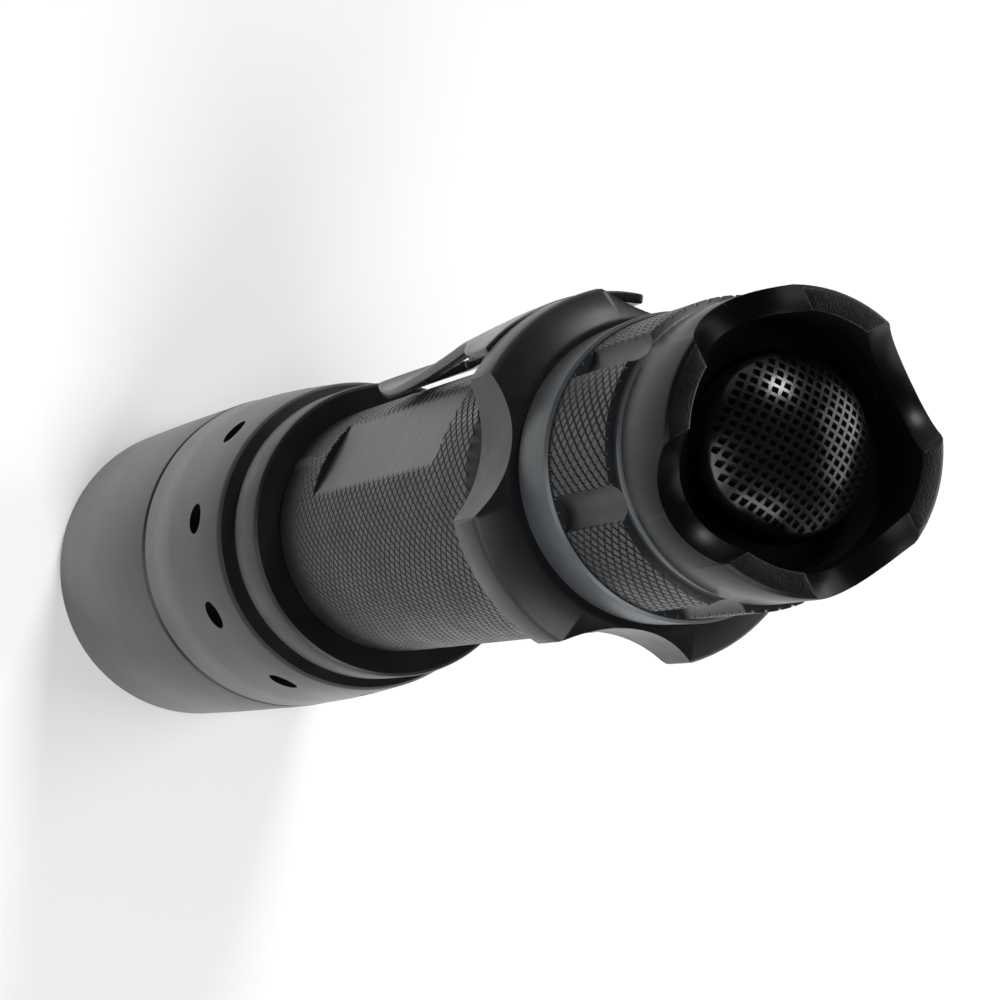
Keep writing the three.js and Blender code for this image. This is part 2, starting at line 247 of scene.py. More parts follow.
def boolean(piece, tool, operation):
    """Applies a tool to a piece and removes the tool."""
    activate(piece)
    bpy.ops.object.modifier_add(type="BOOLEAN")
    modifier = piece.modifiers[-1]
    modifier.operation = operation
    modifier.solver = "MANIFOLD"
    modifier.object = tool
    bpy.ops.object.modifier_apply(modifier=modifier.name)
    bpy.data.objects.remove(tool)
    return piece


def bevel_sharp(piece, width, segments, where, sharpness=35):
    """Bevels the sharp edges whose middle, in millimetres, passes the test."""
    edit(piece)
    bpy.ops.mesh.select_mode(type="EDGE")
    bpy.ops.mesh.select_all(action="DESELECT")
    bpy.ops.mesh.edges_select_sharp(sharpness=math.radians(sharpness))
    leave_edit()
    mesh = piece.data
    for line in mesh.edges:
        if line.select:
            middle = (mesh.vertices[line.vertices[0]].co + mesh.vertices[line.vertices[1]].co) / (2 * MM)
            line.select = bool(where(middle))
    bpy.ops.object.mode_set(mode="EDIT")
    bpy.ops.mesh.bevel(offset=width * MM, segments=segments, affect="EDGES", clamp_overlap=True)
    bpy.ops.mesh.select_mode(type="VERT")
    leave_edit()


def shade(piece, angle=32):
    activate(piece)
    bpy.ops.object.shade_smooth_by_angle(angle=math.radians(angle))


def finished(piece, body, nodes, material, angle=32):
    """Shades a piece, gives it its material and ties it to the frame."""
    shade(piece, angle)
    if material:
        piece.data.materials.clear()
        piece.data.materials.append(material)
    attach(piece, body)
    if nodes:
        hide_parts(*nodes)
    return piece


def radius_of(point):
    return math.hypot(point.x, point.y)


def array(piece, count, offset):
    activate(piece)
    bpy.ops.object.modifier_add(type="ARRAY")
    modifier = piece.modifiers[-1]
    modifier.count = count
    modifier.use_relative_offset = False
    modifier.use_constant_offset = True
    modifier.constant_offset_displace = offset
    modifier.use_merge_vertices = True
    modifier.merge_threshold = MERGE_DISTANCE
    bpy.ops.object.modifier_apply(modifier=modifier.name)


def knurled_sleeve(name, radius, inner, bottom, top, count, pitch, depth, groove=0.165):
    """A closed sleeve whose outer wall is a diamond knurl, cut square at both ends."""
    width = TAU * radius / count
    rows = math.ceil((top - bottom) / pitch) + 1
    deselect_all()
    bpy.ops.mesh.primitive_cone_add(vertices=4, radius1=0.5, radius2=0.5 - groove, depth=1)
    sleeve = bpy.context.object
    sleeve.name = name
    sleeve.matrix_world = (
        Matrix.Translation(Vector((0, depth / 2, 0)) * MM)
        @ Matrix.Diagonal((width * MM, depth * MM, pitch * MM, 1))
        @ Matrix.Rotation(math.pi / 2, 4, "X")
    )
    bpy.ops.object.transform_apply(location=True, rotation=True, scale=True)
    edit(sleeve)
    bpy.ops.mesh.select_mode(type="FACE")
    bpy.ops.mesh.select_all(action="DESELECT")
    leave_edit()
    for face in sleeve.data.polygons:
        face.select = face.normal.y > 0.9
    bpy.ops.object.mode_set(mode="EDIT")
    bpy.ops.mesh.delete(type="FACE")
    bpy.ops.mesh.select_all(action="SELECT")
    half_step = (width / 2 * MM, 0, pitch / 2 * MM)
    bpy.ops.mesh.duplicate_move(TRANSFORM_OT_translate={"value": half_step})
    leave_edit()
    array(sleeve, count, (width * MM, 0, 0))
    array(sleeve, rows, (0, 0, pitch * MM))
    edit(sleeve)
    bpy.ops.mesh.select_all(action="SELECT")
    bpy.ops.mesh.remove_doubles(threshold=MERGE_DISTANCE)
    leave_edit()
    bpy.ops.object.modifier_add(type="SIMPLE_DEFORM")
    modifier = sleeve.modifiers[-1]
    modifier.deform_method = "BEND"
    modifier.deform_axis = "Z"
    modifier.angle = TAU * (count + 0.5) / count
    bpy.ops.object.modifier_apply(modifier=modifier.name)
    place(sleeve, 0, (0, -radius, bottom))
    edit(sleeve)
    bpy.ops.mesh.select_all(action="SELECT")
    bpy.ops.mesh.remove_doubles(threshold=5e-6)
    for height, normal in ((bottom, (0, 0, -1)), (top, (0, 0, 1))):
        bpy.ops.mesh.select_all(action="SELECT")
        bpy.ops.mesh.bisect(plane_co=(0, 0, height * MM), plane_no=normal, clear_outer=True)
    bpy.ops.mesh.select_mode(type="EDGE")
    bpy.ops.mesh.select_all(action="DESELECT")
    bpy.ops.mesh.select_non_manifold()
    bpy.ops.mesh.extrude_edges_move()
    bpy.ops.transform.resize(value=(inner / radius, inner / radius, 1), center_override=(0, 0, bottom * MM))
    bpy.ops.mesh.bridge_edge_loops()
    bpy.ops.mesh.select_mode(type="VERT")
    tidy_mesh()
    leave_edit()
    return sleeve


# ---------------------------------------------------------------- material helpers


class NodeBench:
    """Adds and links the nodes of one material."""

    def __init__(self, name):
        self.material = bpy.data.materials.new(name)
        self.material.use_nodes = True
        self.tree = self.material.node_tree
        self.shader = self.tree.nodes["Principled BSDF"]
        self.place = self.add("ShaderNodeTexCoord").outputs["Object"]

    def add(self, kind, **values):
        node = self.tree.nodes.new(kind)
        for key, value in values.items():
            setattr(node, key, value)
        return node

    def link(self, source, target):
        self.tree.links.new(source, target)

    def set(self, **values):
        for key, value in values.items():
            self.shader.inputs[key.replace("_", " ")].default_value = value

    def mapped(self, scale):
        mapping = self.add("ShaderNodeMapping")
        mapping.inputs["Scale"].default_value = scale
        self.link(self.place, mapping.inputs["Vector"])
        return mapping.outputs["Vector"]

    def noise(self, scale, detail=3.0, roughness=0.5, stretch=None):
        node = self.add("ShaderNodeTexNoise")
        node.inputs["Scale"].default_value = scale
        node.inputs["Detail"].default_value = detail
        node.inputs["Roughness"].default_value = roughness
        self.link(self.mapped(stretch) if stretch else self.place, node.inputs["Vector"])
        return node.outputs["Fac"]

    def ranged(self, value, low, high, start=0.35, end=0.65):
        node = self.add("ShaderNodeMapRange")
        node.inputs["From Min"].default_value = start
        node.inputs["From Max"].default_value = end
        node.inputs["To Min"].default_value = low
        node.inputs["To Max"].default_value = high
        self.link(value, node.inputs["Value"])
        return node.outputs["Result"]

    def mixed(self, factor, first, second):
        node = self.add("ShaderNodeMix", data_type="RGBA")
        self.link(factor, node.inputs["Factor"])
        node.inputs["A"].default_value = (*first, 1)
        node.inputs["B"].default_value = (*second, 1)
        return node.outputs["Result"]

    def bump(self, height, strength, distance, normal=None):
        node = self.add("ShaderNodeBump")
        node.inputs["Strength"].default_value = strength
        node.inputs["Distance"].default_value = distance
        self.link(height, node.inputs["Height"])
        if normal:
            self.link(normal, node.inputs["Normal"])
        return node.outputs["Normal"]


def blasted_metal(name, colour, roughness, grain=0.16, metal=0.85, variation=0.18, gloss=0.5):
    """Anodised or coated metal: a fine blasted grain, and slow variation in tone and gloss."""
    bench = NodeBench(name)
    bench.set(Metallic=metal, IOR=1.5, Specular_IOR_Level=gloss)
    lighter = [min(1.0, part * (1 + variation)) for part in colour]
    darker = [part * (1 - variation) for part in colour]
    slow = bench.noise(90, 4)
    bench.link(bench.mixed(bench.ranged(slow, 0, 1), darker, lighter), bench.shader.inputs["Base Color"])
    patch = bench.noise(240, 5, 0.6)
    spread = variation / 4
    bench.link(bench.ranged(patch, roughness - spread, roughness + spread), bench.shader.inputs["Roughness"])
    fine = bench.noise(5200, 2, 0.6)
    bench.link(bench.bump(fine, min(grain, 1.0), GRAIN_HEIGHT * max(grain, 1.0)), bench.shader.inputs["Normal"])
    return bench.material


def turned_metal(name, colour, roughness, pitch_mm, grain, metal, variation=0.15):
    """Lathe-turned metal: faint rings that follow the axis, with the anodising's grain."""
    bench = NodeBench(name)
    bench.set(Metallic=metal, IOR=1.5, Specular_IOR_Level=0.5)
    lighter = [min(1.0, part * (1 + variation)) for part in colour]
    darker = [part * (1 - variation) for part in colour]
    slow = bench.noise(110, 4)
    bench.link(bench.mixed(bench.ranged(slow, 0, 1), darker, lighter), bench.shader.inputs["Base Color"])
    rings = bench.noise(1.0, 2, 0.5, stretch=(30, 30, 1 / (pitch_mm * MM)))
    bench.link(bench.ranged(rings, roughness - 0.02, roughness + 0.03), bench.shader.inputs["Roughness"])
    grooves = bench.bump(rings, grain, LATHE_RING_HEIGHT)
    fine = bench.noise(4200, 2, 0.6)
    bench.link(bench.bump(fine, grain * 0.8, GRAIN_HEIGHT, grooves), bench.shader.inputs["Normal"])
    return bench.material


def moulded_rubber(name, colour):
    bench = NodeBench(name)
    bench.set(Metallic=0.0, IOR=1.5, Specular_IOR_Level=0.4)
    slow = bench.noise(160, 4)
    lighter = [part * 1.5 for part in colour]
    bench.link(bench.mixed(bench.ranged(slow, 0, 1), colour, lighter), bench.shader.inputs["Base Color"])
    patch = bench.noise(500, 4, 0.6)
    bench.link(bench.ranged(patch, 0.22, 0.3), bench.shader.inputs["Roughness"])
    fine = bench.noise(6000, 3, 0.6)
    bench.link(bench.bump(fine, 0.12, GRAIN_HEIGHT), bench.shader.inputs["Normal"])
    return bench.material


def moulded_plastic(name, colour, roughness):
    bench = NodeBench(name)
    bench.set(Metallic=0.0, IOR=1.48)
    slow = bench.noise(130, 3)
    lighter = [min(1.0, part * 1.2) for part in colour]
    bench.link(bench.mixed(bench.ranged(slow, 0, 1), colour, lighter), bench.shader.inputs["Base Color"])
    patch = bench.noise(600, 3)
    bench.link(bench.ranged(patch, roughness - 0.06, roughness + 0.06), bench.shader.inputs["Roughness"])
    fine = bench.noise(3500, 2)
    bench.link(bench.bump(fine, 0.2, GRAIN_HEIGHT), bench.shader.inputs["Normal"])
    return bench.material


def clear_glass(name):
    bench = NodeBench(name)
    bench.set(Metallic=0.0, IOR=1.5, Transmission_Weight=1.0)
    haze = bench.noise(60, 3)
    bench.link(bench.ranged(haze, 0.01, 0.04), bench.shader.inputs["Roughness"])
    tint = bench.mixed(bench.ranged(haze, 0, 1), (0.96, 0.98, 0.97), (0.9, 0.96, 0.98))
    bench.link(tint, bench.shader.inputs["Base Color"])
    return bench.material


FINISHES = {
    "anodised_black": (blasted_metal, dict(colour=(0.007, 0.0073, 0.0083), roughness=0.36, metal=0.2, gloss=0.25)),
    "anodised_head": (
        blasted_metal,
        dict(colour=(0.012, 0.0126, 0.0143), roughness=0.32, grain=0.12, metal=0.5, variation=0.05, gloss=0.32),
    ),
    "anodised_smooth": (
        blasted_metal,
        dict(colour=(0.002, 0.0021, 0.0024), roughness=0.3, grain=0.14, metal=0.0, variation=0.12, gloss=0.1),
    ),
    "anodised_crest": (
        blasted_metal, dict(colour=(0.002, 0.002, 0.0023), roughness=0.34, grain=2.0, metal=0.0, gloss=0.4),
    ),
    # Nearly black and dull: painted shade for the tail cap's recessed inner wall and shelf.
    "anodised_mouth": (
        blasted_metal, dict(colour=(0.0012, 0.0012, 0.0013), roughness=0.5, grain=0.5, metal=0.0, gloss=0.1),
    ),
    "anodised_band": (
        turned_metal, dict(colour=(0.045, 0.05, 0.054), roughness=0.4, pitch_mm=0.4, grain=0.1, metal=0.7),
    ),
    "black_steel": (blasted_metal, dict(colour=(0.045, 0.046, 0.048), roughness=0.26, grain=0.12, metal=0.8)),
    "black_rubber": (moulded_rubber, dict(colour=(0.003, 0.003, 0.0034))),
    "lens_glass": (clear_glass, {}),
    "mirror_coating": (
        turned_metal,
        dict(colour=(0.86, 0.86, 0.88), roughness=0.1, pitch_mm=0.8, grain=0.05, metal=1.0, variation=0.02),
    ),
    "led_phosphor": (moulded_plastic, dict(colour=(0.8, 0.66, 0.1), roughness=0.3)),
    "white_board": (moulded_plastic, dict(colour=(0.75, 0.76, 0.76), roughness=0.4)),
    "circuit_board": (moulded_plastic, dict(colour=(0.02, 0.14, 0.05), roughness=0.45)),
    "brass": (turned_metal, dict(colour=(0.72, 0.5, 0.2), roughness=0.3, pitch_mm=0.3, grain=0.3, metal=1.0)),
    "gilt_spring": (turned_metal, dict(colour=(0.83, 0.6, 0.25), roughness=0.25, pitch_mm=0.3, grain=0.2, metal=1.0)),
    "plain_steel": (turned_metal, dict(colour=(0.55, 0.56, 0.58), roughness=0.3, pitch_mm=0.3, grain=0.2, metal=1.0)),
    "cell_wrap": (moulded_plastic, dict(colour=(0.03, 0.11, 0.32), roughness=0.28)),
    "dark_plastic": (moulded_plastic, dict(colour=(0.02, 0.02, 0.023), roughness=0.5)),
    "red_insulation": (moulded_plastic, dict(colour=(0.4, 0.02, 0.015), roughness=0.4)),
    "black_insulation": (moulded_plastic, dict(colour=(0.012, 0.012, 0.012), roughness=0.4)),
}
made_finishes = {}


def finish_of(name):
    """A finish by name, made when first asked for and never taken from the frame's own materials."""
    if name not in made_finishes:
        maker, values = FINISHES[name]
        made_finishes[name] = maker(name, **values)
    return made_finishes[name]


def coat(piece, *names):
    """Gives a piece the finishes of these names, in this order."""
    piece.data.materials.clear()
    for name in names:
        piece.data.materials.append(finish_of(name))


# ---------------------------------------------------------------- settings


class FlashlightSizes(bpy.types.PropertyGroup):
    knurl_depth: FloatProperty(
        name="Knurl depth", description="Depth of the knurl's grooves", default=0.00026, subtype="DISTANCE"
    )
    knurl_pitch: FloatProperty(
        name="Knurl pitch", description="Length of one diamond along the axis", default=0.0013, subtype="DISTANCE"
    )
    tube_diamonds: IntProperty(
        name="Tube diamonds", description="Diamonds in one row round the tube", default=66, min=12
    )
    cap_diamonds: IntProperty(
        name="Cap diamonds", description="Diamonds in one row round the tail cap", default=66, min=12
    )
    pit_pitch: FloatProperty(
        name="Boot pit pitch", description="Distance between the button's pits", default=0.00077, subtype="DISTANCE"
    )
    pit_depth: FloatProperty(
        name="Boot pit depth", description="Depth of the button's pits", default=0.00028, subtype="DISTANCE"
    )


class FlashlightStage(bpy.types.PropertyGroup):
    floor_colour: FloatVectorProperty(
        name="Floor colour", description="Colour of the floor", default=(0.97, 0.97, 0.97), subtype="COLOR"
    )
    light_strength: FloatProperty(
        name="Light strength", description="Factor on all lamps", default=1.0, subtype="FACTOR"
    )
    lens: FloatProperty(
        name="Lens", description="Focal length of the camera in millimetres", default=102.6, unit="CAMERA"
    )


# ---------------------------------------------------------------- head


class FLASHLIGHT_OT_bezel(bpy.types.Operator):
    """Add the bezel sleeve with its chamfered rim"""

    bl_idname = "flashlight.bezel"
    bl_label = "Bezel"

    def execute(self, context):
        outer, top = BEZEL_RADIUS, BEZEL_TOP
        thread, bore, lip = 16.9, 15.9, 3.2
        threads = [
            [thread + 0.05 + (0.0 if step % 2 else 0.4), top - 1.2 - step * THREAD_PITCH / 2] for step in range(9)
        ]
        profile = [
            [15, 0], [17.2, 0], [17.75, 0.25], [outer, 0.8], [outer, 16], [17.8, top - 0.75],
            [17.72, top - 0.35], [17.4, top], [thread, top], *threads, [thread, 29.6], [bore, 29.6],
            [bore, lip], [14.2, lip], [14.25, 2.4], [14.9, 0.15], [15, 0],
        ]
        piece = spun("bezel_sleeve", profile, FINE_STEPS)
        finished(piece, "bezel", ["bezel_ring"], finish_of("anodised_head"), 24)
        return {"FINISHED"}


class FLASHLIGHT_OT_head(bpy.types.Operator):
    """Add the head with its dimples, cooling groove and rear fin"""

    bl_idname = "flashlight.head"
    bl_label = "Head"

    def execute(self, context):
        top = HEAD_TOP
        joint = BEZEL_TOP
        neck = 16.4
        threads = [[neck + (0.0 if step % 2 else -0.45), 30.3 + step * THREAD_PITCH / 2] for step in range(7)]
        profile = [
            [15.3, 30], [neck - 0.3, 30], *threads, [neck, 35.6], [15.8, 35.6], [15.8, 37.4],
            [neck, 37.4], [neck, joint + 0.3], [17.2, joint + 0.3], [17.58, joint + 0.5], [17.7, joint + 0.8],
            [17.4, 48], [16.95, 56], [16.5, 61.8], [16.4, 62.25], [16.15, 62.6],
            [14.8, 62.95], [14.7, 63.15], [14.7, 64.45], [14.8, 64.6], [15.1, 64.75], [15.35, 65.0],
            [15.35, top - 0.55], [15.22, top - 0.2], [14.95, top],
            [12.6, top], [12.6, TUBE_BOTTOM], [13.3, TUBE_BOTTOM - 0.3], [13.3, 38.9], [15.3, 38.9], [15.3, 30],
        ]
        piece = spun("head_casing", profile, FINE_STEPS)
        dimple_profile = [[0, -1.8], [1.0, -1.72], [1.45, -1.3], [1.55, -0.1], [1.68, 0.15], [1.8, 2], [0, 2]]
        dimple = spun("dimple_cutter", dimple_profile, 24)
        edit(dimple)
        bpy.ops.mesh.select_all(action="SELECT")
        bpy.ops.transform.rotate(value=-math.pi / 2, orient_axis="Y", center_override=(0, 0, 0))
        leave_edit()
        dimple.data.transform(Matrix.Rotation(math.pi, 4, "Z"))
        place(dimple, 0, (16.98, 0, 55.4))
        boolean(piece, copies_around(dimple, DIMPLES, DIMPLE_ANGLE), "DIFFERENCE")
        coat(piece, "anodised_head", "anodised_black")
        # Faces behind the rear fin take the darker anodised_black finish: painted shade on the head's neck and end
        # face, which lie in shadow.
        for face in piece.data.polygons:
            face.material_index = 1 if face.center.z / MM > NECK_SHADE_START else 0
        finished(piece, "barrel", ["head_shell"], None, 28)
        return {"FINISHED"}


class FLASHLIGHT_OT_optics(bpy.types.Operator):
    """Add the lens, its gasket, the reflector and the emitter"""

    bl_idname = "flashlight.optics"
    bl_label = "Optics"

    def execute(self, context):
        bottom, top = span("lens")
        radius = reach("lens")
        lens_profile = [
            [0, bottom], [radius - 0.35, bottom], [radius, bottom + 0.3], [radius, top - 0.3],
            [radius - 0.35, top], [0, top],
        ]
        lens = spun("lens_disc", lens_profile, FINE_STEPS)
        finished(lens, "lens_pack", ["lens"], finish_of("lens_glass"))
        low, high = span("lens_gasket")
        middle, half = (low + high) / 2, (high - low) / 2
        gasket_profile = [
            [15.0 + 0.5 * math.cos(step * TAU / 10), middle + half * math.sin(step * TAU / 10)] for step in range(11)
        ]
        gasket = spun("lens_seal", gasket_profile)
        finished(gasket, "lens_pack", ["lens_gasket"], finish_of("black_rubber"))
        self.add_reflector()
        self.add_emitter()
        return {"FINISHED"}

    def add_reflector(self):
        front, foot = span("reflector")
        focus, emitter = 1.95, foot - 1.4
        vertex = emitter + focus
        steps = 22
        edge = math.sqrt(4 * focus * (vertex - front))
        hole, foot_radius, wall = 2.6, 8, 0.9
        lip_top = front + 2
        lip = math.sqrt(4 * focus * (vertex - lip_top))

        def bowl(start, end, offset):
            radii = [start + (end - start) * step / steps for step in range(steps + 1)]
            return [[radius + offset, vertex - radius**2 / (4 * focus)] for radius in radii]

        profile = [
            [edge, front], [15.6, front], [15.6, lip_top], *bowl(lip, foot_radius - wall, wall),
            [foot_radius, foot], [hole, foot], *bowl(hole, edge, 0),
        ]
        reflector = spun("reflector_bowl", profile, FINE_STEPS)
        finished(reflector, "barrel", ["reflector"], finish_of("mirror_coating"))

    def add_emitter(self):
        low, high = span("led_emitter")
        base = high - 0.9
        deselect_all()
        bpy.ops.mesh.primitive_cube_add(size=1, location=(0, 0, (base + high) / 2 * MM))
        package = bpy.context.object
        package.scale = (3.2 * MM, 3.2 * MM, (high - base) * MM)
        bpy.ops.object.transform_apply(location=True, rotation=True, scale=True)
        bevel_sharp(package, 0.15, 2, lambda middle: True)
        dome_profile = [
            [1.3 * math.sin(step * math.pi / 24), base - 1.3 * math.cos(step * math.pi / 24)] for step in range(13)
        ]
        dome = spun("emitter_dome", [[0, low], *dome_profile[1:], [0, base]], 32)
        emitter = joined([package, dome])
        emitter.name = "emitter_package"
        finished(emitter, "barrel", ["led_emitter"], finish_of("led_phosphor"))


# ---------------------------------------------------------------- tube and fittings


class FLASHLIGHT_OT_tube(bpy.types.Operator):
    """Add the knurled battery tube with its neck, flats, shoulder and thread"""

    bl_idname = "flashlight.tube"
    bl_label = "Battery tube"

    def execute(self, context):
        sizes = context.scene.flashlight_sizes
        pitch = sizes.knurl_pitch / MM
        core_radius = TUBE_RADIUS - KNURL_SEAT
        groove_floor = 10.3
        joint = HEAD_TOP + 0.3
        knurl_start = 76.4
        ridge, root = THREAD_RADIUS, THREAD_RADIUS - 0.55
        threads = [[root if step % 2 else ridge, 136.7 + step * THREAD_PITCH / 2] for step in range(5)]
        profile = [
            [BORE_RADIUS, TUBE_BOTTOM], [11.9, TUBE_BOTTOM], [12.2, TUBE_BOTTOM + 0.3], [12.2, 68.2],
            [11.3, 68.2], [11.3, 70.3], [12.2, 70.3], [12.2, joint], [TUBE_RADIUS - 0.25, joint],
            [TUBE_RADIUS, joint + 0.25], [TUBE_RADIUS, knurl_start], [TUBE_RADIUS - 0.1, knurl_start + 0.15],
            [core_radius, knurl_start + 0.3], [core_radius, 122.6], [11.9, SHOULDER],
            [THREAD_RADIUS, SHOULDER], [THREAD_RADIUS, 134.4], [groove_floor, 134.4], [groove_floor, 136],
            [THREAD_RADIUS, 136], *threads, [THREAD_RADIUS - 0.2, TUBE_TOP - 0.2],
            [THREAD_RADIUS - 0.5, TUBE_TOP], [BORE_RADIUS, TUBE_TOP], [BORE_RADIUS, TUBE_BOTTOM],
        ]
        tube = spun("battery_tube", profile, FINE_STEPS)
        depth = sizes.knurl_depth / MM
        sleeve = knurled_sleeve(
            "tube_knurl", TUBE_RADIUS, core_radius - SLEEVE_OVERLAP, knurl_start + 0.1, SHOULDER - 0.05,
            sizes.tube_diamonds, pitch, depth * 0.8, 0.13,
        )
        chamfer_profile = [
            [12.0, SHOULDER + 0.4], [12.0, SHOULDER], [13.0, 121.9], [14, 121.9], [14, SHOULDER + 0.4],
            [12.0, SHOULDER + 0.4],
        ]
        boolean(sleeve, spun("chamfer_cutter", chamfer_profile, FINE_STEPS), "DIFFERENCE")
        boolean(tube, sleeve, "UNION")
        boolean(tube, self.flat_cutters(), "DIFFERENCE")
        coat(tube, "anodised_black", "anodised_band")
        across = Vector((math.cos(math.radians(FLAT_ANGLE)), math.sin(math.radians(FLAT_ANGLE)), 0))
        for face in tube.data.polygons:
            faces_flat = abs(face.normal.dot(across)) > 0.999
            face.material_index = 1 if faces_flat and radius_of(face.center / MM) > 11.8 else 0
        finished(tube, "barrel", ["body_tube"], None, 26)
        return {"FINISHED"}

    def flat_cutters(self):
        distance, width = FLAT_DISTANCE, 16
        start, end = 81.5, 116.6
        side = [
            (start, distance), (end - 3.4, distance), (end - 2.2, distance + 0.25), (end, distance + 1.5), (end, 18),
            (start, 18),
        ]
        outline = [Vector((out, -width / 2, height)) * MM for height, out in side]
        cutter = prism("flat_cutter", outline, Vector((0, width, 0)) * MM)
        return copies_around(cutter, FLATS, FLAT_ANGLE)


class FLASHLIGHT_OT_seals(bpy.types.Operator):
    """Add the round rubber seals of the threads"""

    bl_idname = "flashlight.seals"
    bl_label = "Seals"

    def execute(self, context):
        for node in ("bezel_o_ring", "head_o_ring", "tail_o_ring"):
            low, high = span(node)
            outer = reach(node)
            half = (high - low) / 2 * 1.12
            middle = (low + high) / 2
            sides = 14
            profile = [
                [outer - half + half * math.cos(step * TAU / sides), middle + half * math.sin(step * TAU / sides)]
                for step in range(sides + 1)
            ]
            seal = spun(node.replace("o_ring", "seal"), profile)
            finished(seal, "barrel", [node], finish_of("black_rubber"), 60)
        return {"FINISHED"}


class FLASHLIGHT_OT_tactical_ring(bpy.types.Operator):
    """Add the scalloped finger ring"""

    bl_idname = "flashlight.tactical_ring"
    bl_label = "Tactical ring"

    def execute(self, context):
        bottom, top = RING_BOTTOM, RING_TOP
        bore, outer = THREAD_RADIUS + 0.3, 16.3
        envelope_profile = [
            [bore, bottom], [15.8, bottom], [outer - 0.1, bottom + 0.25], [outer, bottom + 0.55],
            [outer, 131.2], [outer - 0.12, 131.55], [15.9, 131.85], [13.4, top - 0.12], [13.0, top],
            [bore, top], [bore, bottom],
        ]
        ring = spun("finger_ring", envelope_profile, FINE_STEPS)
        outline = []
        steps = 288
        for step in range(steps):
            turn = step * TAU / steps
            distance = self.reach_at(turn - math.radians(RING_SCALLOP_ANGLE), outer)
            outline.append(Vector((distance * math.cos(turn), distance * math.sin(turn), bottom - 1)) * MM)
        envelope = prism("ring_outline", outline, Vector((0, 0, top - bottom + 2)) * MM)
        boolean(ring, envelope, "INTERSECT")
        bevel_sharp(ring, 0.22, 2, lambda middle: 12.9 < radius_of(middle) and middle.z < 133.2, 30)
        finished(ring, "barrel", ["tactical_ring"], finish_of("anodised_black"), 40)
        return {"FINISHED"}

    def reach_at(self, turn, outer):
        """Radius of the outline: four hollows ground by a round wheel, with softened corners."""
        wheel, floor = 10.7, 13.2
        centre = floor + wheel
        quarter = math.pi / 2
        offset = (turn + quarter / 2) % quarter - quarter / 2
        across = centre * math.sin(offset)
        if abs(across) >= wheel:
            return outer
        hollow = centre * math.cos(offset) - math.sqrt(wheel**2 - across**2)
        softness = 0.28
        blend = max(softness - abs(hollow - outer), 0) / softness
        return min(hollow, outer) - blend**2 * softness / 4


